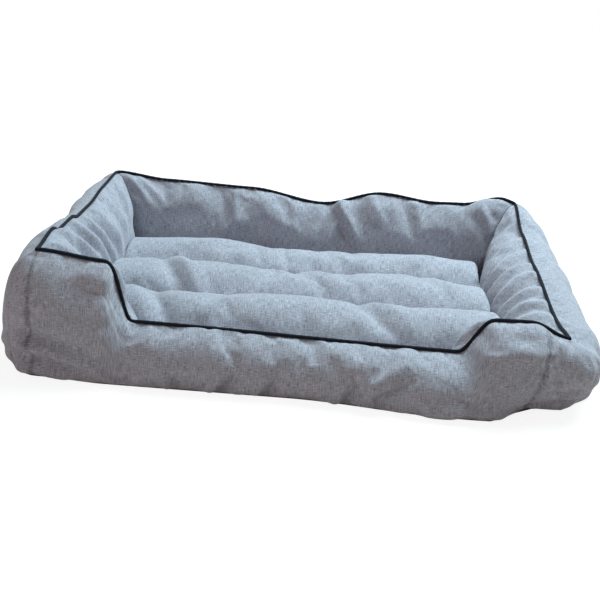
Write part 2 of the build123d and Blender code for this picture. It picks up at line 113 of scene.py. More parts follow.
# Folds of the cloth: (along, height) to (along, height), width and lift; (x, y) on the mattress
folds = {
    ("left", inner): (
        (0.03, 0.215, 0.09, 0.150, 0.012, 0.008), (0.10, 0.210, 0.20, 0.125, 0.012, 0.015),
        (0.17, 0.210, 0.26, 0.110, 0.012, 0.012), (0.24, 0.210, 0.33, 0.095, 0.013, 0.012),
        (0.31, 0.200, 0.40, 0.090, 0.016, 0.009), (0.42, 0.195, 0.48, 0.100, 0.020, 0.007),
        (0.52, 0.200, 0.50, 0.120, 0.012, 0.006),
    ),
    ("left", outer): (
        (-0.05, 0.060, 0.06, 0.050, 0.010, 0.006), (-0.05, 0.035, 0.09, 0.025, 0.010, 0.006),
        (0.18, 0.180, 0.14, 0.080, 0.030, 0.005), (0.40, 0.180, 0.44, 0.090, 0.030, 0.005),
    ),
    ("back", inner): (
        (0.02, 0.200, 0.05, 0.160, 0.010, 0.006), (0.05, 0.200, 0.09, 0.160, 0.010, 0.006),
        (0.11, 0.165, 0.20, 0.195, 0.020, 0.008), (0.24, 0.120, 0.29, 0.150, 0.020, 0.009),
        (0.27, 0.190, 0.39, 0.160, 0.022, 0.007), (0.44, 0.100, 0.46, 0.140, 0.012, 0.008),
        (0.50, 0.185, 0.565, 0.115, 0.013, 0.016), (0.486, 0.110, 0.514, 0.165, 0.013, 0.009),
        (0.57, 0.195, 0.63, 0.150, 0.018, 0.007), (0.665, 0.200, 0.70, 0.170, 0.010, 0.006),
        (0.80, 0.205, 0.86, 0.175, 0.012, 0.008), (0.83, 0.205, 0.875, 0.150, 0.010, 0.006),
    ),
    ("right", inner): (
        (0.06, 0.170, 0.11, 0.080, 0.014, 0.006), (0.13, 0.160, 0.18, 0.070, 0.013, 0.007),
        (0.19, 0.155, 0.25, 0.060, 0.012, 0.008), (0.25, 0.150, 0.32, 0.055, 0.012, 0.009),
        (0.30, 0.145, 0.38, 0.050, 0.011, 0.009), (0.36, 0.140, 0.44, 0.050, 0.011, 0.010),
        (0.41, 0.135, 0.49, 0.055, 0.011, 0.009), (0.46, 0.130, 0.54, 0.060, 0.011, 0.007),
        (0.22, 0.120, 0.24, 0.070, 0.008, 0.005), (0.33, 0.110, 0.36, 0.070, 0.008, 0.005),
    ),
    ("right", outer): (
        (0.06, 0.180, 0.14, 0.090, 0.020, 0.005), (0.22, 0.150, 0.30, 0.080, 0.022, 0.004),
        (0.62, 0.058, 0.52, 0.070, 0.010, 0.005), (0.63, 0.034, 0.50, 0.040, 0.010, 0.005),
        (0.60, 0.100, 0.54, 0.105, 0.012, 0.004),
    ),
    ("front", outer): (
        (0.15, 0.112, 0.03, 0.118, 0.010, 0.007), (0.13, 0.128, 0.03, 0.112, 0.009, 0.005),
        (-0.03, 0.060, 0.05, 0.046, 0.009, -0.009), (-0.03, 0.034, 0.06, 0.022, 0.009, -0.009),
        (0.23, 0.012, 0.10, 0.022, 0.012, 0.008), (0.31, 0.024, 0.25, 0.066, 0.012, -0.015),
        (0.365, 0.004, 0.35, 0.044, 0.010, -0.011), (0.50, 0.002, 0.48, 0.040, 0.009, -0.010),
        (0.574, 0.002, 0.55, 0.050, 0.010, -0.013), (0.645, 0.002, 0.65, 0.034, 0.010, -0.008),
        (0.935, 0.050, 0.865, 0.044, 0.009, -0.012),
        (0.865, 0.044, 0.775, 0.012, 0.009, -0.012),
        (0.92, 0.024, 0.82, 0.012, 0.009, 0.010), (0.91, 0.070, 0.80, 0.045, 0.012, 0.008),
        (0.92, 0.075, 0.85, 0.062, 0.010, 0.007), (0.81, 0.172, 0.755, 0.150, 0.011, -0.007),
        (0.75, 0.135, 0.79, 0.120, 0.010, 0.005), (0.725, 0.105, 0.79, 0.070, 0.010, 0.006),
        (0.70, 0.085, 0.76, 0.060, 0.012, 0.005), (0.86, 0.165, 0.83, 0.110, 0.020, 0.005),
    ),
    ("mattress", 0): (
        (-0.263, 0.045, -0.205, -0.075, 0.018, 0.013),
        (-0.290, -0.110, -0.245, -0.215, 0.020, -0.017),
        (-0.086, -0.060, -0.050, -0.020, 0.012, 0.006),
        (-0.010, 0.060, 0.070, -0.030, 0.020, 0.007),
        (-0.256, 0.135, -0.120, 0.190, 0.020, 0.006), (0.130, -0.110, 0.200, -0.200, 0.022, 0.008),
        (0.180, 0.110, 0.280, 0.180, 0.020, 0.006), (0.250, 0.050, 0.310, -0.040, 0.018, 0.006),
    ),
}

# How far the foot is drawn in towards the start and the end of each wall, and over what run
foot_draw = {"left": (0.010, 0), "back": (0, 0), "right": (0, 0.044), "front": (0.044, 0.012)}
foot_draw_run = 0.12

# The front right seam: its place, how far its foot leans, and how far the cloth leans with it
right_seam_place = 0.042
seam_lean = 0.024
seam_lean_run = 0.15

# How much higher the waist is where the foot is drawn in
waist_lift = 0.024

# The drawn-in upright seams, and the puckers beside them
seam_sink = 0.004
seam_groove = 0.004
pucker_top = 0.96
pucker_run = 0.040
pucker_pitch = 0.0028
pucker_depth = 0.0040
pucker_drift = 0.03
pucker_lump = 0.014

Girth = namedtuple("Girth", "height out inn waist")
Wall = namedtuple("Wall", "name corner along outward run ridge girths")


def soft_ridge(start, end, run, shares):
    """(place, height) rows of a wavy ridge between two corners."""
    waves = [(run * p, (start + (end - start) * p) * h) for p, h in shares]
    return [(0, start), *waves, (run, end)]


LEFT = Wall(
    "left", (-half_length, -half_depth), (0, 1), (-1, 0), ridge_depth,
    soft_ridge(0.213, 0.211, ridge_depth,
               ((0.15, 1.045), (0.215, 0.985), (0.36, 0.985), (0.43, 0.94), (0.6, 0.94),
                (0.77, 0.98))),
    [(0, 0.061, 0.050, 0.080), (1, 0.068, 0.054, 0.080)],
)
BACK = Wall(
    "back", (-half_length, half_depth), (1, 0), (0, 1), ridge_length,
    soft_ridge(0.211, 0.206, ridge_length,
               ((0.13, 0.95), (0.34, 0.935), (0.52, 0.83), (0.67, 0.985), (0.8, 0.93),
                (0.87, 0.94), (0.965, 1.035))),
    [(0, 0.068, 0.054, 0.080), (1, 0.068, 0.054, 0.080)],
)
RIGHT = Wall(
    "right", (half_length, half_depth), (0, -1), (1, 0), ridge_depth,
    soft_ridge(0.206, 0.126, ridge_depth, ((0.2, 0.89), (0.45, 0.865), (0.86, 0.876))),
    [(0, 0.068, 0.054, 0.080), (0.3, 0.087, 0.084, 0.060), (0.85, 0.084, 0.084, 0.060),
     (1, 0.064, 0.062, 0.060)],
)
FRONT = Wall(
    "front", (half_length, -half_depth), (-1, 0), (0, -1), ridge_length,
    [(0, 0.126), (0.066, 0.150), (0.128, 0.149), (0.180, 0.087), (0.737, 0.097), (0.773, 0.201),
     (ridge_length, 0.213)],
    [(0, 0.064, 0.062, 0.060), (0.13, 0.088, 0.062, 0.055), (0.202, 0.088, 0.048, 0.040),
     (0.515, 0.060, 0.048, 0.040), (0.828, 0.060, 0.048, 0.040), (0.934, 0.060, 0.050, 0.080),
     (1, 0.061, 0.050, 0.080)],
)
WALLS = (LEFT, BACK, RIGHT, FRONT)

# The loose mattress
mattress_left, mattress_right = -0.392, 0.361
mattress_front, mattress_back = -0.236, 0.235
mattress_floor = 0.0019
mattress_seam_height = 0.042
mattress_crown = 0.098
channel_height = 0.068
channel_place_shares = (0.34, 0.67)
mattress_foot_inset = 0.014
mattress_end_run = 0.016
mattress_end_share = 0.50
mattress_end_draw = 0.005
lobe_rows = 26
sole_rows = 8

# Piping
piping_radius = 0.0030
piping_rise = 0.0030
piping_sides = 12
piping_bend = 0.012
piping_step = 0.004
piping_stitch = 0.0021
piping_lump = 0.012
piping_wave = 0.05


def ease(share):
    """A smooth step from 0 to 1."""
    return share * share * (3 - 2 * share)


def between(table, place):
    """Eased reading of a table of (place, value, ...) rows."""
    for low, high in zip(table, table[1:]):
        if place <= high[0]:
            blend = ease((place - low[0]) / (high[0] - low[0]))
            return [a + (b - a) * blend for a, b in zip(low[1:], high[1:])]
    return list(table[-1][1:])


def girth_at(wall, place):
    """The section's sizes at a place along the wall."""
    height = between(wall.ridge, place)[0]
    return Girth(height, *between(wall.girths, place / wall.run))


def even(line, count):
    """The line's points spread evenly into count steps, each with its distance along the line."""
    spans = [hypot(b[0] - a[0], b[1] - a[1]) for a, b in zip(line, line[1:])]
    marks = np.concatenate([[0], np.cumsum(spans)])
    wanted = np.linspace(0, marks[-1], count + 1)
    return list(zip(*[np.interp(wanted, marks, [p[i] for p in line]) for i in (0, 1)], wanted))


def link(name, mesh):
    """A new object with that mesh."""
    piece = bpy.data.objects.new(name, mesh)
    bpy.context.scene.collection.objects.link(piece)
    return piece


# Walls: closed shells of two panels, a sole and two ends


def foot_tuck(wall, place):
    """How far the foot is behind the widest line, drawn in further near the corners."""
    start, end = foot_draw[wall.name]
    near_start = ease(1 - min(1, place / foot_draw_run))
    near_end = ease(1 - min(1, (wall.run - place) / foot_draw_run))
    return base_tuck + start * near_start + end * near_end


def half_profile(girth, side, crown, tuck):
    """(reach, height) points of one side, from the ridge round the waist to the foot."""
    reach = (girth.out if side == outer else girth.inn) - swell_room
    drawn = (tuck - base_tuck) / foot_draw["front"][0]
    squareness = foot_squareness + drawn_squareness_gain * drawn
    girth = girth._replace(waist=girth.waist + waist_lift * drawn)
    tuck -= swell_room
    turns = [pi / 2 * i / profile_steps for i in range(profile_steps + 1)]
    rise = girth.height - girth.waist
    line = [
        (reach * sin(t), girth.waist + rise * cos(t) + crown * sin(2 * t) * cos(t)) for t in turns
    ]
    for t in turns[1:]:
        out, down = max(cos(t), 0) ** squareness, sin(t) ** squareness
        line.append((reach - tuck * (1 - out), girth.waist - (girth.waist - base_thickness) * down))
    return line


def on_floor(wall, place, outward, turn=0):
    """The floor point at a place along the wall and a distance outwards, turned at a corner."""
    along, out = Vector((*wall.along, 0)), Vector((*wall.outward, 0))
    way = out * cos(turn) + along * sin(turn)
    return Vector((*wall.corner, 0)) + along * place + way * outward


def wall_columns(wall):
    """(place, turn) of the outer panel's columns, round both corners as far as the mitre."""
    steps = round(wall.run / grid_size)
    bends = round(corner_reach * pi / 4 / grid_size)
    before = [(0, -pi / 4 * (1 - i / bends)) for i in range(bends)]
    after = [(wall.run, pi / 4 * (i + 1) / bends) for i in range(bends)]
    return before, [(wall.run * i / steps, 0) for i in range(steps + 1)], after


def lean_share(wall, place):
    """How much of the front right seam's lean the cloth has at a place."""
    if wall is not FRONT:
        return 0
    past = place - right_seam_place
    return ease(1 + past / right_seam_place if past < 0 else max(0, 1 - past / seam_lean_run))


def wall_line(wall, place, turn, side):
    """Points from the ridge to the foot at one column, each with its place on the flat cloth."""
    girth = girth_at(wall, place)
    nearness = min(1, place / crown_start, (wall.run - place) / crown_start)
    crown = crown_rise[wall.name] * ease(nearness) if side == outer else 0
    tuck = foot_tuck(wall, place) if side == outer else base_tuck
    line = []
    lean = seam_lean * lean_share(wall, place)
    for reach, height, distance in even(half_profile(girth, side, crown, tuck), wall_rows):
        if side == outer:
            spot = on_floor(wall, place + lean * max(0, 1 - height / girth.height), reach, turn)
        else:
            inward = reach + (wall.run - 2 * reach) * place / wall.run
            spot = on_floor(wall, inward, -reach)
        spot.z = height
        line.append((spot, (place + corner_reach * turn, side * distance)))
    return line


def wall_shell(wall):
    """The closed shell of a wall, its held points, its points' places and those on its seams.

    Material 0 is its outer panel, 1 its inner panel and 2 its sole and ends.
    """
    before, middle, after = wall_columns(wall)
    first = len(before)
    vertices, faces, flats, kinds, pins = [], [], [], [], set()
    places = []
    columns = {outer: [], inner: []}
    for side, rows in ((outer, before + middle + after), (inner, middle)):
        for place, turn in rows:
            line = wall_line(wall, place, turn, side)
            column = []
            for j, (spot, flat) in enumerate(line):
                shared = None
                at_corner = turn > 0 or len(columns[outer]) in range(1, first + 1)
                if j == 0 and side == outer and at_corner:
                    shared = columns[outer][-1][0][0]
                if j == 0 and side == inner:
                    shared = columns[outer][first + len(columns[inner])][0][0]
                if shared is None:
                    shared = len(vertices)
                    vertices.append(spot)
                    places.append((side, flat[0]))
                column.append((shared, flat))
            columns[side].append(column)
    for side, kind in ((outer, 0), (inner, 1)):
        grid = columns[side]
        for left, right in zip(grid, grid[1:]):
            for j in range(wall_rows):
                ring = [left[j], left[j + 1], right[j + 1], right[j]]
                ring = ring[::-1] if side == outer else ring
                corners = [c for i, c in enumerate(ring) if c[0] != ring[i - 1][0]]
                faces.append([c[0] for c in corners])
                flats.append([c[1] for c in corners])
                kinds.append(kind)
        pins.update(c[0] for c in grid[0] + grid[-1])
        for column in grid:
            pins.update((column[0][0], column[-1][0]))
    out_grid, in_grid = columns[outer], columns[inner]
    sole = [c[-1] for c in out_grid[::-1]] + [c[-1] for c in in_grid]
    caps = [out_grid[0][::-1] + in_grid[0][1:], in_grid[-1][:0:-1] + out_grid[-1]]
    for ring in [sole, *caps]:
        faces.append([c[0] for c in ring][::-1])
        flats.append([c[1] for c in ring][::-1])
        kinds.append(2)
    mesh = bpy.data.meshes.new(f"{wall.name}_shell")
    mesh.from_pydata(vertices, [], faces)
    paint_flats(mesh, flats, kinds)
    shell = link(f"{wall.name}_shell", mesh)
    ends = seam_places(wall)
    seams = {i for i, (side, along) in enumerate(places)
             if side == outer and any(abs(along - seam) < grid_size / 2 for seam in ends)}
    return shell, pins, places, seams


def seam_places(wall):
    """Places along the outer panel of its upright seams, at the corners and beside them."""
    mitre = corner_reach * pi / 4
    places = {
        "left": [wall.run + mitre], "back": [-mitre, wall.run + mitre], "right": [-mitre],
        "front": [grid_size * round(right_seam_place / grid_size), wall.run],
    }
    return places[wall.name]


def pucker(shell, places, wall):
    """Draws the upright seams of the outer panel in, with small puckers beside them."""
    ends = seam_places(wall)
    normals = [v.normal.copy() for v in shell.data.vertices]
    for vertex, normal, (side, along) in zip(shell.data.vertices, normals, places):
        if side != outer or vertex.co.z < 2 * base_thickness:
            continue
        away = min(abs(along - end) for end in ends)
        drawn = seam_sink * exp(-(away / seam_groove) ** 2)
        drift = 2 * lump(vertex.co, pucker_drift, 7)
        wave = sin(vertex.co.z / pucker_pitch + drift) + lump(vertex.co, pucker_lump, 3)
        ridge = girth_at(wall, min(max(along, 0), wall.run)).height
        crest = min(1, (pucker_top - vertex.co.z / ridge) * 4)
        depth = drawn + pucker_depth * wave * exp(-away / pucker_run * 2)
        vertex.co -= normal * depth * max(0, crest)


def lay_on_base(shell):
    """Flattens the cloth where it would sink below the base's top face."""
    for vertex in shell.data.vertices:
        vertex.co.z = max(vertex.co.z, base_thickness)


def paint_flats(mesh, flats, kinds):
    """Gives every face its cloth coordinates and its kind, which is kept as its material number."""
    layer = mesh.uv_layers.new(name="cloth")
    for polygon, flat, kind in zip(mesh.polygons, flats, kinds):
        polygon.material_index = kind
        polygon.use_smooth = True
        for loop, uv in zip(polygon.loop_indices, flat):
            layer.data[loop].uv = uv


# Mattress: a closed cushion with three channels


def quarter(start, end, upright_first, steps):
    """Points of a quarter of an ellipse that leaves its start upright, or level."""
    (x0, y0), (x1, y1) = start, end
    turns = [pi / 2 * i / steps for i in range(steps + 1)]
    if upright_first:
        return [(x1 + (x0 - x1) * cos(t), y0 + (y1 - y0) * sin(t)) for t in turns]
    return [(x0 + (x1 - x0) * sin(t), y1 + (y0 - y1) * cos(t)) for t in turns]


def cushion_line(fullness):
    """(y, z) points round the cushion: over its three lobes and back under the sole."""
    drawn = mattress_end_draw * (1 - fullness)
    seam = mattress_seam_height
    crown, valley = (seam + (top - seam) * fullness for top in (mattress_crown, channel_height))
    floor = seam - (seam - mattress_floor) * fullness
    depth = mattress_back - mattress_front
    seams = [(mattress_front + drawn, seam)]
    seams += [(mattress_front + depth * share, valley) for share in channel_place_shares]
    seams += [(mattress_back - drawn, seam)]
    top = []
    for left, right in zip(seams, seams[1:]):
        middle = ((left[0] + right[0]) / 2, crown)
        rising = quarter(left, middle, True, profile_steps)
        falling = quarter(middle, right, False, profile_steps)
        top += [p[:2] for p in even(rising + falling[1:], lobe_rows)][:-1]
    feet = [(seams[-1][0] - mattress_foot_inset, floor), (seams[0][0] + mattress_foot_inset, floor)]
    back = quarter(seams[-1], feet[0], True, profile_steps)
    front = quarter(feet[1], seams[0], False, profile_steps)
    under = []
    for line, count in ((back, sole_rows), (feet, 2 * lobe_rows), (front, sole_rows)):
        under += [p[:2] for p in even(line, count)][:-1]
    return top + under


def cushion_shell():
    """The closed cushion. Material 0 is its top panel and 1 its bottom panel."""
    steps = round((mattress_right - mattress_left) / grid_size)
    bends = 12
    turns = [pi / 2 * i / bends for i in range(bends)]
    first = mattress_end_share
    rise = [(mattress_end_run * (1 - cos(t)), first + (1 - first) * sin(t)) for t in turns]
    length = mattress_right - mattress_left
    level = np.linspace(mattress_end_run, length - mattress_end_run, steps - 2 * bends)
    rows = rise + [(x, 1) for x in level] + [(length - run, full) for run, full in rise[::-1]]
    vertices, faces, flats, kinds, pins = [], [], [], [], set()
    lines = [cushion_line(full) for _, full in rows]
    count = len(lines[0])
    top_count = 3 * lobe_rows
    for (x, _), line in zip(rows, lines):
        vertices += [Vector((mattress_left + x, y, z)) for y, z in line]
    for i in range(len(rows) - 1):
        for j in range(count):
            k = (j + 1) % count
            faces.append([i * count + j, (i + 1) * count + j, (i + 1) * count + k, i * count + k])
            kinds.append(0 if j < top_count else 1)
            along, on = rows[i][0], rows[i + 1][0]
            across, past = j * grid_size, (j + 1) * grid_size
            flats.append([(along, across), (on, across), (on, past), (along, past)])
    for i, way in ((0, 1), (len(rows) - 1, -1)):
        line = [i * count + j for j in range(count)] + [i * count]
        for kind, ring in ((0, line[: top_count + 1]), (1, line[top_count:])):
            faces.append(ring[::way])
            flats.append([(rows[i][0], grid_size * (k % count)) for k in ring[::way]])
            kinds.append(kind)
    seams = set()
    for i in range(len(rows)):
        pins.update(i * count + j for j in range(count) if j % lobe_rows == 0 or j > top_count)
        seams.update(i * count + j for j in range(0, top_count + 1, lobe_rows))
    pins.update(range(count))
    pins.update(range((len(rows) - 1) * count, len(rows) * count))
    mesh = bpy.data.meshes.new("cushion_shell")
    mesh.from_pydata(vertices, [], faces)
    paint_flats(mesh, flats, kinds)
    return link("cushion_shell", mesh), pins, seams


# Cloth


def lump(point, size, seed):
    """Smooth noise between -1 and 1 with lumps of about that size."""
    return noise.noise(point / size + Vector((seed, 0, 0)))


def fold_push(fold, along, height):
    """How far a fold lifts the cloth at a place: a ridge with a hollow beside it."""
    along_0, height_0, along_1, height_1, width, lift = fold
    run, rise = along_1 - along_0, height_1 - height_0
    length = hypot(run, rise)
    share = ((along - along_0) * run + (height - height_0) * rise) / length ** 2
    held = min(1, max(0, share))
    past = (share - held) * length / width
    away = ((along - along_0) * rise - (height - height_0) * run) / length / width
    fade = fold_ends + (1 - fold_ends) * sin(pi * min(1, held * 0.8 + 0.2))
    hollow = hollow_share * exp(-((away - hollow_place) ** 2))
    return lift * fade * exp(-past * past) * (exp(-abs(away) ** crest_power) - hollow)


def knead(shell, pins, amounts, seed, calm, fold_of):
    """Moves the free points along their normals, by lumps, less where calm, and by folds."""
    mesh = shell.data
    normals = [vertex.normal.copy() for vertex in mesh.vertices]
    pushes = []
    for vertex in mesh.vertices:
        push = sum(height * lump(vertex.co, size, seed) for size, height in amounts) * calm(vertex)
        pushes.append(push + fold_of(vertex))
    for vertex, normal, push in zip(mesh.vertices, normals, pushes):
        if vertex.index not in pins:
            vertex.co += normal * push


def inflate(shell, pins, slack, caps):
    """Blows the shell up as stuffed cloth. Its seams are held, and no point passes its cap."""
    before = np.array([v.co for v in shell.data.vertices])
    group = shell.vertex_groups.new(name="seams")
    group.add(list(pins), 1.0, "REPLACE")
    cloth = shell.modifiers.new("Cloth", "CLOTH")
    settings = cloth.settings
    settings.quality = 5
    settings.mass = 0.3
    settings.tension_stiffness = settings.compression_stiffness = 15
    settings.shear_stiffness = 5
    settings.bending_stiffness = 0.4
    settings.shrink_min = -slack
    settings.use_pressure = True
    settings.uniform_pressure_force = stuffing_pressure
    settings.vertex_group_mass = "seams"
    settings.effector_weights.gravity = 0
    cloth.collision_settings.use_collision = False
    cloth.point_cache.frame_end = blow_frames
    scene = bpy.context.scene
    for number in range(1, blow_frames + 1):
        scene.frame_set(number)
    blown = shell.evaluated_get(bpy.context.evaluated_depsgraph_get()).to_mesh()
    after = np.array([v.co for v in blown.vertices])
    shell.modifiers.remove(cloth)
    scene.frame_set(1)
    step = after - before
    length = np.linalg.norm(step, axis=1, keepdims=True)
    after = before + step * np.minimum(1, np.array(caps).reshape(-1, 1) / np.maximum(length, 1e-9))
    shell.data.vertices.foreach_set("co", after.astype(np.float32).ravel())
    shell.data.update()


def mark_seam_shade(shell, seams):
    """Marks the seams' points, along which the cloth's colour is darkened as painted shade in the
    seam grooves.
    """
    layer = shell.data.attributes.new("seam", "FLOAT", "POINT")
    for index in seams:
        layer.data[index].value = 1


def part_of(shell, kind, name):
    """A new object of the shell's faces of one kind."""
    made = bmesh.new()
    made.from_mesh(shell.data)
    others = [f for f in made.faces if f.material_index != kind]
    bmesh.ops.delete(made, geom=others, context="FACES")
    for face in made.faces:
        face.material_index = 0
    mesh = bpy.data.meshes.new(name)
    made.to_mesh(mesh)
    made.free()
    return link(name, mesh)


def finish_cover(piece):
    """Smooths a cover panel, gives it its thickness and its cloth."""
    soft = piece.modifiers.new("Subdivision", "SUBSURF")
    soft.levels = soft.render_levels = 1
    thick = piece.modifiers.new("Thickness", "SOLIDIFY")
    thick.thickness = fabric_thickness
    thick.offset = -1
    piece.data.materials.clear()
    piece.data.materials.append(cover_cloth)


def inset_copy(shell, name, depth, wall=None):
    """The stuffing inside a shell: a smaller closed form, shorter at a wall's corners."""
    mesh = shell.data.copy()
    mesh.name = name
    middle = sum((v.co for v in mesh.vertices), Vector()) / len(mesh.vertices)
    for vertex, normal in zip(mesh.vertices, [v.normal.copy() for v in shell.data.vertices]):
        vertex.co -= normal * depth
        if wall is None:
            vertex.co.xy = middle.xy + (vertex.co.xy - middle.xy) * stuffing_scale
        else:
            from_corner = vertex.co.xy - Vector(wall.corner)
            place = from_corner.dot(Vector(wall.along))
            reach = from_corner.dot(Vector(wall.outward))
            near_start = max(0, 1 - place / stuffing_end_run)
            near_end = max(0, 1 - (wall.run - place) / stuffing_end_run)
            shift = stuffing_end * (near_start - near_end)
            vertex.co.xy = on_floor(wall, place + shift, reach * wall_stuffing_scale).xy
        vertex.co.z *= stuffing_height_scale
    for polygon in mesh.polygons:
        polygon.material_index = 0
    mesh.materials.clear()
    mesh.materials.append(fill_fibre)
    return link(name, mesh)


# Materials


def new_material(name):
    """A material with its shader, node tree and a maker of nodes."""
    material = bpy.data.materials.new(name)
    material.use_nodes = True
    nodes = material.node_tree.nodes
    return material, nodes["Principled BSDF"], nodes.new, material.node_tree.links.new


def math(node, wire, kind, a, b):
    """A math node over two sockets or numbers, and its result."""
    made = node("ShaderNodeMath")
    made.operation = kind
    for socket, value in zip(made.inputs, (a, b)):
        if isinstance(value, (int, float)):
            socket.default_value = value
        else:
            wire(value, socket)
    return made.outputs[0]


def streaks(node, wire, place, width, length, across, seed):
    """Noise drawn out along the threads, across or along the cloth."""
    mapping = node("ShaderNodeMapping")
    size = (length, width, 1) if across else (width, length, 1)
    mapping.inputs["Scale"].default_value = [1 / s for s in size]
    mapping.inputs["Location"].default_value = (seed, seed, seed)
    wire(place, mapping.inputs["Vector"])
    threads = node("ShaderNodeTexNoise")
    threads.inputs["Scale"].default_value = 1
    threads.inputs["Detail"].default_value = 1
    wire(mapping.outputs[0], threads.inputs["Vector"])
    return threads.outputs["Fac"]


def cloth_material(name, light, dark, thread, contrast, by_map=True, sheen=0.25):
    """A heathered plain weave: light and dark yarns with slubs, both ways of the cloth, and painted
    shade along its seams.
    """
    material, shader, node, wire = new_material(name)
    if by_map:
        place_node = node("ShaderNodeUVMap")
        place_node.uv_map = "cloth"
        place = place_node.outputs[0]
    else:
        place = node("ShaderNodeTexCoord").outputs["Object"]
    # The seams' points, along which the colour is darkened as painted shade
    seam = node("ShaderNodeAttribute")
    seam.attribute_name = "seam"
    # Long slubs both ways of the cloth and finer hairs, whose noises add up to about 1.3
    warp = streaks(node, wire, place, thread, thread * 14, False, 3)
    weft = streaks(node, wire, place, thread, thread * 9, True, 17)
    fine = streaks(node, wire, place, thread / 2.4, thread * 3, False, 41)
    both = math(node, wire, "ADD", warp, weft)
    both = math(node, wire, "ADD", both, math(node, wire, "MULTIPLY", fine, 0.6))
    share = math(node, wire, "MULTIPLY", math(node, wire, "SUBTRACT", both, 1.3), contrast)
    share = math(node, wire, "ADD", share, 0.5)
    # Faint clouds of lighter and darker cloth, and painted shade darkening the cloth along its
    # seams, where the grooves lie in shadow
    cloud = node("ShaderNodeTexNoise")
    cloud.inputs["Scale"].default_value = 9
    cloud.inputs["Detail"].default_value = 3
    wire(place, cloud.inputs["Vector"])
    cloudiness = math(node, wire, "SUBTRACT", cloud.outputs["Fac"], 0.5)
    share = math(node, wire, "ADD", share, math(node, wire, "MULTIPLY", cloudiness, 0.25))
    # Painted shade: the colour is darkened along the seams, in place of the shadow in their grooves
    painted_seam_shade = math(node, wire, "MULTIPLY", seam.outputs["Fac"], 0.65)
    share = math(node, wire, "SUBTRACT", share, painted_seam_shade)
    clamp = math(node, wire, "MAXIMUM", share, -0.35)
    mix = node("ShaderNodeMix")
    mix.data_type = "RGBA"
    mix.inputs[6].default_value = (*dark, 1)
    mix.inputs[7].default_value = (*light, 1)
    mix.clamp_factor = False
    wire(clamp, mix.inputs[0])
    wire(mix.outputs[2], shader.inputs["Base Color"])
    bump = node("ShaderNodeBump")
    bump.inputs["Strength"].default_value = 0.5
    bump.inputs["Distance"].default_value = 0.0005
    wire(both, bump.inputs["Height"])
    wire(bump.outputs[0], shader.inputs["Normal"])
    shader.inputs["Roughness"].default_value = 0.9
    shader.inputs["Sheen Weight"].default_value = sheen
    shader.inputs["Sheen Roughness"].default_value = 0.6
    shader.inputs["Specular IOR Level"].default_value = 0.2
    return material


def plain_material(name, colour, roughness, metallic=0.0):
    """Moulded plastic or metal with a faint grain."""
    material, shader, node, wire = new_material(name)
    place = node("ShaderNodeTexCoord").outputs["Object"]
    grain = node("ShaderNodeTexNoise")
    grain.inputs["Scale"].default_value = 400
    grain.inputs["Detail"].default_value = 4
    wire(place, grain.inputs["Vector"])
    mix = node("ShaderNodeMix")
    mix.data_type = "RGBA"
    mix.inputs[6].default_value = (*[c * 0.75 for c in colour], 1)
    mix.inputs[7].default_value = (*[min(1, c * 1.25) for c in colour], 1)
    wire(grain.outputs["Fac"], mix.inputs[0])
    wire(mix.outputs[2], shader.inputs["Base Color"])
    bump = node("ShaderNodeBump")
    bump.inputs["Strength"].default_value = 0.15
    bump.inputs["Distance"].default_value = 0.0002
    wire(grain.outputs["Fac"], bump.inputs["Height"])
    wire(bump.outputs[0], shader.inputs["Normal"])
    shader.inputs["Roughness"].default_value = roughness
    shader.inputs["Metallic"].default_value = metallic
    return material


cover_cloth = cloth_material("cover_cloth", (0.53, 0.52, 0.58), (0.26, 0.255, 0.285), 0.0012, 2.1)
piping_cloth = cloth_material(
    "piping_cloth", (0.008, 0.010, 0.018), (0.002, 0.003, 0.007), 0.0010, 1.6, sheen=0.02)
base_cloth = cloth_material(
    "base_cloth", (0.10, 0.105, 0.115), (0.035, 0.037, 0.042), 0.0020, 1.6, by_map=False)
fill_fibre = cloth_material("fill_fibre", (0.86, 0.86, 0.84), (0.60, 0.60, 0.58), 0.0030, 1.4)
tape_cloth = cloth_material(
    "tape_cloth", (0.16, 0.17, 0.20), (0.07, 0.075, 0.09), 0.0009, 1.6, by_map=False)
tooth_plastic = plain_material("tooth_plastic", (0.035, 0.037, 0.042), 0.35)
slider_metal = plain_material("slider_metal", (0.36, 0.36, 0.38), 0.32, 0.9)


# Pieces


def make_walls():
    """The cover panels and the stuffing of the four walls."""
    for number, wall in enumerate(WALLS):
        shell, pins, places, seams = wall_shell(wall)
        held = pins | zip_zone(shell) if wall is BACK else pins

        def calm(vertex):
            return calm_outside[wall.name] if places[vertex.index][0] == outer else 1

        def fold_of(vertex):
            side, along = places[vertex.index]
            return sum(fold_push(f, along, vertex.co.z) for f in folds.get((wall.name, side), ()))

        knead(shell, held, wall_lumps, 10 * number, calm, fold_of)
        caps = [outer_cap if side == outer else inner_cap for side, _ in places]
        inflate(shell, held, wall_slack, caps)
        pucker(shell, places, wall)
        lay_on_base(shell)
        # Marks the seam points for the painted shade that darkens the cloth along them
        mark_seam_shade(shell, seams)
        shell.data.update()
        for kind, side in ((0, "outer"), (1, "inner")):
            piece = part_of(shell, kind, f"{wall.name}_{side}_cover")
            if wall is BACK and side == "outer":
                cut_slit(piece, wall_slit)
            finish_cover(piece)
            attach(piece, "bed")
            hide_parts(f"{wall.name}_{side}_panel")
        stuffing = inset_copy(shell, f"{wall.name}_stuffing", wall_stuffing_depth, wall)
        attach(stuffing, "bed")
        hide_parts(f"{wall.name}_bolster_stuffing")
        bpy.data.objects.remove(shell)


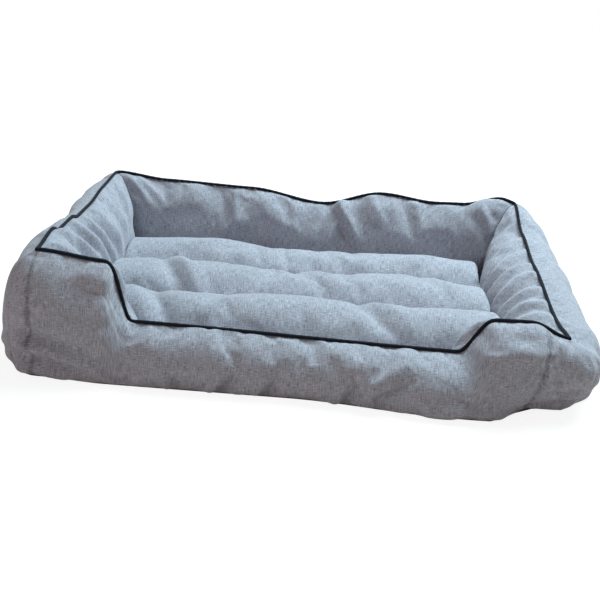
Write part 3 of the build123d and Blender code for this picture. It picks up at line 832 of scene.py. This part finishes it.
def make_mattress():
    """The two cover panels of the mattress and the stuffing of its three channels."""
    shell, pins, seams = cushion_shell()

    def fold_of(vertex):
        if vertex.co.z < mattress_seam_height:
            return 0
        return sum(fold_push(f, vertex.co.x, vertex.co.y) for f in folds["mattress", 0])

    knead(shell, pins, mattress_lumps, mattress_seed, lambda vertex: 1, fold_of)
    caps = [mattress_cap] * len(shell.data.vertices)
    inflate(shell, pins, mattress_slack, caps)
    # Marks the seam points for the painted shade that darkens the cloth along them
    mark_seam_shade(shell, seams)
    for kind, side in ((0, "top"), (1, "bottom")):
        piece = part_of(shell, kind, f"mattress_{side}_cover")
        if side == "bottom":
            cut_slit(piece, mattress_slit)
        finish_cover(piece)
        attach(piece, "mattress")
        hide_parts(f"mattress_{side}_panel")
    depth = mattress_back - mattress_front
    edges = [mattress_front + depth * share for share in channel_place_shares]
    edges = [mattress_front, *edges, mattress_back]
    for number, name in enumerate(("front", "middle", "back")):
        filling = inset_copy(shell, f"{name}_channel_filling", channel_stuffing_depth)
        slice_of(filling, edges[number], edges[number + 1])
        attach(filling, "mattress")
        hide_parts(f"{name}_channel_stuffing")
    bpy.data.objects.remove(shell)


def slice_of(piece, low, high):
    """Keeps the closed slice of a piece between two places along Y."""
    made = bmesh.new()
    made.from_mesh(piece.data)
    for place, way in ((low + channel_gap, -1), (high - channel_gap, 1)):
        everything = made.verts[:] + made.edges[:] + made.faces[:]
        cut = bmesh.ops.bisect_plane(
            made, geom=everything, plane_co=(0, place, 0), plane_no=(0, way, 0), clear_outer=True)
        rim = [e for e in cut["geom_cut"] if isinstance(e, bmesh.types.BMEdge)]
        bmesh.ops.holes_fill(made, edges=rim)
    made.to_mesh(piece.data)
    made.free()


# Slits over the zips

# Half a slit's width, and how much shorter than its tapes it is at each end
slit_reach = 0.0065
tape_tail = 0.015

# How far round a slit its cloth is cut, and how far round the back one it stays flat
cut_margin = 0.02
zone_reach = 0.014
zone_past_ends = 0.012

# A tape node's thickness is under the first of these; its teeth stand out by more than the second
tape_thickness_limit = 0.004
tooth_rise = 0.0004


def slit_over(nodes, along, across):
    """The box of the slit over two tapes, shorter than they are, as its low and high corners."""
    low = Vector([min(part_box(n)[0][i] for n in nodes) for i in range(3)])
    high = Vector([max(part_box(n)[1][i] for n in nodes) for i in range(3)])
    middle = (low + high) / 2
    low[along] += tape_tail
    high[along] -= tape_tail
    low[across], high[across] = middle[across] - slit_reach, middle[across] + slit_reach
    return low, high


wall_slit = slit_over(("back_zip_upper_tape", "back_zip_lower_tape"), 0, 2)
mattress_slit = slit_over(("mattress_zip_front_tape", "mattress_zip_back_tape"), 0, 1)


def inside(point, box, margin, axes):
    """Whether a point is within a box, seen along the axis that isn't named."""
    return all(box[0][i] - margin <= point[i] <= box[1][i] + margin for i in axes)


def cut_slit(piece, box):
    """Cuts the cloth along the four sides of a slit and takes out what is inside."""
    thin = min(range(3), key=lambda i: box[1][i] - box[0][i])
    axes = [i for i in range(3) if i != thin]
    way = 1 if thin == 1 else -1
    near = [f for f in piece.data.polygons if inside(f.center, box, cut_margin, axes)]
    spots = {f.index for f in near if f.normal[thin] * way > 0.5}
    made = bmesh.new()
    made.from_mesh(piece.data)
    made.faces.ensure_lookup_table()
    chosen = [made.faces[i] for i in spots]
    for axis in axes:
        for place in (box[0][axis], box[1][axis]):
            normal = Vector([1.0 if i == axis else 0.0 for i in range(3)])
            chosen = [f for f in chosen if f.is_valid]
            edges = dict.fromkeys(e for f in chosen for e in f.edges)
            corners = dict.fromkeys(v for f in chosen for v in f.verts)
            cut = bmesh.ops.bisect_plane(
                made, geom=[*chosen, *edges, *corners], plane_co=normal * place, plane_no=normal)
            chosen = [f for f in cut["geom"] if isinstance(f, bmesh.types.BMFace)]
    gone = [f for f in chosen if f.is_valid and inside(f.calc_center_median(), box, 0, axes)]
    bmesh.ops.delete(made, geom=gone, context="FACES")
    made.to_mesh(piece.data)
    made.free()


def zip_zone(shell):
    """The back shell's points round the zip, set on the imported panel's face, where they stay."""
    past_ends = Vector((zone_past_ends, 0, 0))
    zone = (wall_slit[0] - past_ends, wall_slit[1] + past_ends)
    face = half_depth + BACK.girths[0][1]
    held = set()
    for vertex in shell.data.vertices:
        if vertex.co.y > half_depth + swell_room and inside(vertex.co, zone, zone_reach, (0, 2)):
            vertex.co.y = face
            held.add(vertex.index)
    return held


def tube(name, points):
    """A closed piping tube along points, with the small puckers that its seam leaves."""
    vertices, faces, flats = [], [], []
    travelled = 0
    up = Vector((0, 0, 1))
    for i, point in enumerate(points):
        ahead = (points[min(i + 1, len(points) - 1)] - points[max(i - 1, 0)]).normalized()
        side = ahead.cross(up).normalized()
        over = side.cross(ahead)
        if i:
            travelled += (point - points[i - 1]).length
        stitches = piping_wave * sin(travelled / piping_stitch)
        radius = piping_radius * (1 + stitches + piping_wave * lump(point, piping_lump, 5))
        for k in range(piping_sides):
            turn = 2 * pi * k / piping_sides
            vertices.append(point + (side * cos(turn) + over * sin(turn)) * radius)
        flats.append(travelled)
    count = len(points)
    for i in range(count - 1):
        for k in range(piping_sides):
            n = (k + 1) % piping_sides
            here, following = i * piping_sides, (i + 1) * piping_sides
            faces.append([here + k, here + n, following + n, following + k])
    around = 2 * pi * piping_radius / piping_sides
    marks = [
        [(flats[i], k * around), (flats[i], (k + 1) * around), (flats[i + 1], (k + 1) * around),
         (flats[i + 1], k * around)]
        for i in range(count - 1) for k in range(piping_sides)
    ]
    last = (count - 1) * piping_sides
    faces += [list(range(piping_sides))[::-1], [last + k for k in range(piping_sides)]]
    marks += [[(0, k * around) for k in range(piping_sides)]] * 2
    mesh = bpy.data.meshes.new(name)
    mesh.from_pydata(vertices, [], faces)
    paint_flats(mesh, marks, [0] * len(faces))
    mesh.materials.append(piping_cloth)
    return link(name, mesh)


def ridge_points(wall, start, end):
    """Points of the piping's middle over a wall's ridge, short of its corners by start and end."""
    step = piping_step
    count = round((wall.run - start - end) / step)
    points = []
    for i in range(count + 1):
        place = start + (wall.run - start - end) * i / count
        here = min(max(place, 0), wall.run)
        height = girth_at(wall, here).height
        ahead = girth_at(wall, min(here + step, wall.run)).height
        behind = girth_at(wall, max(here - step, 0)).height
        slope = atan((ahead - behind) / (2 * step))
        spot = on_floor(wall, place - piping_rise * sin(slope), 0)
        spot.z = height + piping_rise * cos(slope)
        points.append(spot)
    return points


def rounded(points, passes):
    """The chain of points with its corners eased."""
    for _ in range(passes):
        points = [points[0]] + [
            (a + b * 2 + c) / 4 for a, b, c in zip(points, points[1:], points[2:])
        ] + [points[-1]]
    return points


def make_piping():
    """The piping round the left, back and right ridges, and that of the front."""
    bend, end = piping_bend / 2, -piping_radius
    around = ridge_points(LEFT, end, bend) + ridge_points(BACK, bend, bend)
    around += ridge_points(RIGHT, bend, end)
    along_front = ridge_points(FRONT, piping_radius, piping_radius)
    for name, points in (("surround_welt", around), ("front_welt", along_front)):
        piece = tube(name, rounded(points, 3))
        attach(piece, "bed")
        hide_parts(name.replace("welt", "piping"))


def make_base():
    """The bottom fabric, out to the foot of every wall."""
    points = []
    for wall in WALLS:
        _, middle, after = wall_columns(wall)
        for place, turn in middle[::4] + after:
            reach = girth_at(wall, place).out - foot_tuck(wall, place)
            spot = on_floor(wall, place + seam_lean * lean_share(wall, place), reach, turn)
            points.append(Vector((spot.x, spot.y, base_thickness)))
        following = WALLS[(WALLS.index(wall) + 1) % 4]
        reach = girth_at(following, 0).out - foot_tuck(following, 0)
        for place, turn in wall_columns(following)[0][1:]:
            points.append(on_floor(following, place, reach, turn))
            points[-1].z = base_thickness
    mesh = bpy.data.meshes.new("base_cloth")
    mesh.from_pydata(points, [], [list(range(len(points)))[::-1]])
    piece = link("base_cloth", mesh)
    if piece.data.polygons[0].normal.z < 0:
        piece.data.flip_normals()
    thick = piece.modifiers.new("Thickness", "SOLIDIFY")
    thick.thickness = base_thickness
    thick.offset = -1
    piece.data.materials.append(base_cloth)
    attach(piece, "bed")
    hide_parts("base_panel")


def dress_zips():
    """Materials of the zips and the quilting seams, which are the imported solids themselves."""
    for name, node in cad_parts.items():
        if node.hide_render:
            continue
        node.data.materials.clear()
        if name.endswith("_tape"):
            node.data.materials.append(tape_cloth)
            node.data.materials.append(tooth_plastic)
            low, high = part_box(name)
            for polygon in node.data.polygons:
                polygon.material_index = int(is_tooth(polygon, low, high))
        elif name.endswith("_seam"):
            node.data.materials.append(base_cloth)
        else:
            node.data.materials.append(slider_metal)


def is_tooth(polygon, low, high):
    """Whether a face of a tape node belongs to its thick edge of teeth."""
    axis = 1 if high.y - low.y < tape_thickness_limit else 2
    middle = (low[axis] + high[axis]) / 2
    return abs(polygon.center[axis] - middle) > tooth_rise or abs(polygon.normal[axis]) < 0.5


# Floor, light and camera

# Half the floor's side
floor_reach = 9.0


def seen_by(node, wire):
    """A socket that is 1 for the rays that show the backdrop: from the camera, gloss or glass."""
    path = node("ShaderNodeLightPath")
    seen, gloss, glass = (path.outputs[f"Is {kind} Ray"] for kind in (
        "Camera", "Glossy", "Transmission"))
    return math(node, wire, "MAXIMUM", seen, math(node, wire, "MAXIMUM", gloss, glass))


def make_floor():
    """A plain pale floor."""
    mesh = bpy.data.meshes.new("floor")
    low, high = -floor_reach, floor_reach
    corners = [(low, low, 0), (high, low, 0), (high, high, 0), (low, high, 0)]
    mesh.from_pydata(corners, [], [(0, 1, 2, 3)])
    material, shader, node, wire = new_material("floor_white")
    shader.inputs["Base Color"].default_value = (0.68, 0.57, 0.52, 1)
    shader.inputs["Roughness"].default_value = 0.8
    place = node("ShaderNodeTexCoord").outputs["Object"]
    reached = node("ShaderNodeVectorMath")
    reached.operation = "LENGTH"
    wire(place, reached.inputs[0])
    white = node("ShaderNodeMapRange")
    for socket, value in (("From Min", 0.7), ("From Max", 1.8), ("To Min", 0.88), ("To Max", 1.0)):
        white.inputs[socket].default_value = value
    wire(reached.outputs["Value"], white.inputs["Value"])
    glow = node("ShaderNodeEmission")
    wire(white.outputs["Result"], glow.inputs["Strength"])
    faint = node("ShaderNodeBsdfDiffuse")
    faint.inputs["Color"].default_value = (0.25, 0.25, 0.25, 1)
    seen = node("ShaderNodeAddShader")
    wire(glow.outputs[0], seen.inputs[0])
    wire(faint.outputs[0], seen.inputs[1])
    mix = node("ShaderNodeMixShader")
    wire(seen_by(node, wire), mix.inputs[0])
    wire(shader.outputs[0], mix.inputs[1])
    wire(seen.outputs[0], mix.inputs[2])
    wire(mix.outputs[0], material.node_tree.nodes["Material Output"].inputs["Surface"])
    mesh.materials.append(material)
    floor = link("floor", mesh)


def area_light(name, place, aim, size, power, colour):
    """A soft square light that looks at a point."""
    lamp = bpy.data.lights.new(name, "AREA")
    lamp.size = size
    lamp.energy = power
    lamp.color = colour
    made = bpy.data.objects.new(name, lamp)
    made.location = place
    made.rotation_euler = (Vector(aim) - Vector(place)).to_track_quat("-Z", "Y").to_euler()
    bpy.context.scene.collection.objects.link(made)


def make_light():
    """Cool soft light from above and a weak warmer one from the front."""
    area_light("top_light", (0.95, 0.88, 2.2), (0, 0, 0), 2.0, 115, (0.69, 0.91, 1.0))
    area_light("front_light", (-2.1, -2.1, 1.1), (-0.2, 0, 0.1), 2.0, 12, (1.0, 0.92, 0.93))
    world = bpy.data.worlds.new("studio")
    bpy.context.scene.world = world
    world.use_nodes = True
    nodes, wire = world.node_tree.nodes, world.node_tree.links.new
    background = nodes["Background"]
    background.inputs["Color"].default_value = (1.0, 0.92, 0.90, 1)
    background.inputs["Strength"].default_value = 0.15
    white = nodes.new("ShaderNodeBackground")
    white.inputs["Color"].default_value = (1, 1, 1, 1)
    mix = nodes.new("ShaderNodeMixShader")
    wire(seen_by(nodes.new, wire), mix.inputs[0])
    wire(background.outputs[0], mix.inputs[1])
    wire(white.outputs[0], mix.inputs[2])
    wire(mix.outputs[0], nodes["World Output"].inputs["Surface"])
    bpy.context.scene.view_settings.view_transform = "Standard"


camera_place = Vector((0.0151, -1.7168, 0.7058))
camera_yaw = radians(0.9)
camera_pitch = radians(20.9)
camera_roll = radians(4.0)
camera_lens = 55.2


def make_camera():
    """The photograph's camera: its place, its turn, its look down and its roll."""
    lens = bpy.data.cameras.new("camera")
    lens.lens = camera_lens
    made = bpy.data.objects.new("camera", lens)
    bpy.context.scene.collection.objects.link(made)
    ahead = Vector((-sin(camera_yaw), cos(camera_yaw), 0)) * cos(camera_pitch)
    ahead.z = -sin(camera_pitch)
    right = Vector((cos(camera_yaw), sin(camera_yaw), 0))
    up = right.cross(ahead)
    across = right * cos(camera_roll) + up * sin(camera_roll)
    over = up * cos(camera_roll) - right * sin(camera_roll)
    made.matrix_world = Matrix((
        (across.x, over.x, -ahead.x, camera_place.x),
        (across.y, over.y, -ahead.y, camera_place.y),
        (across.z, over.z, -ahead.z, camera_place.z),
        (0, 0, 0, 1),
    ))
    bpy.context.scene.camera = made


make_walls()
make_mattress()
make_piping()
make_base()
dress_zips()
make_floor()
make_light()
make_camera()
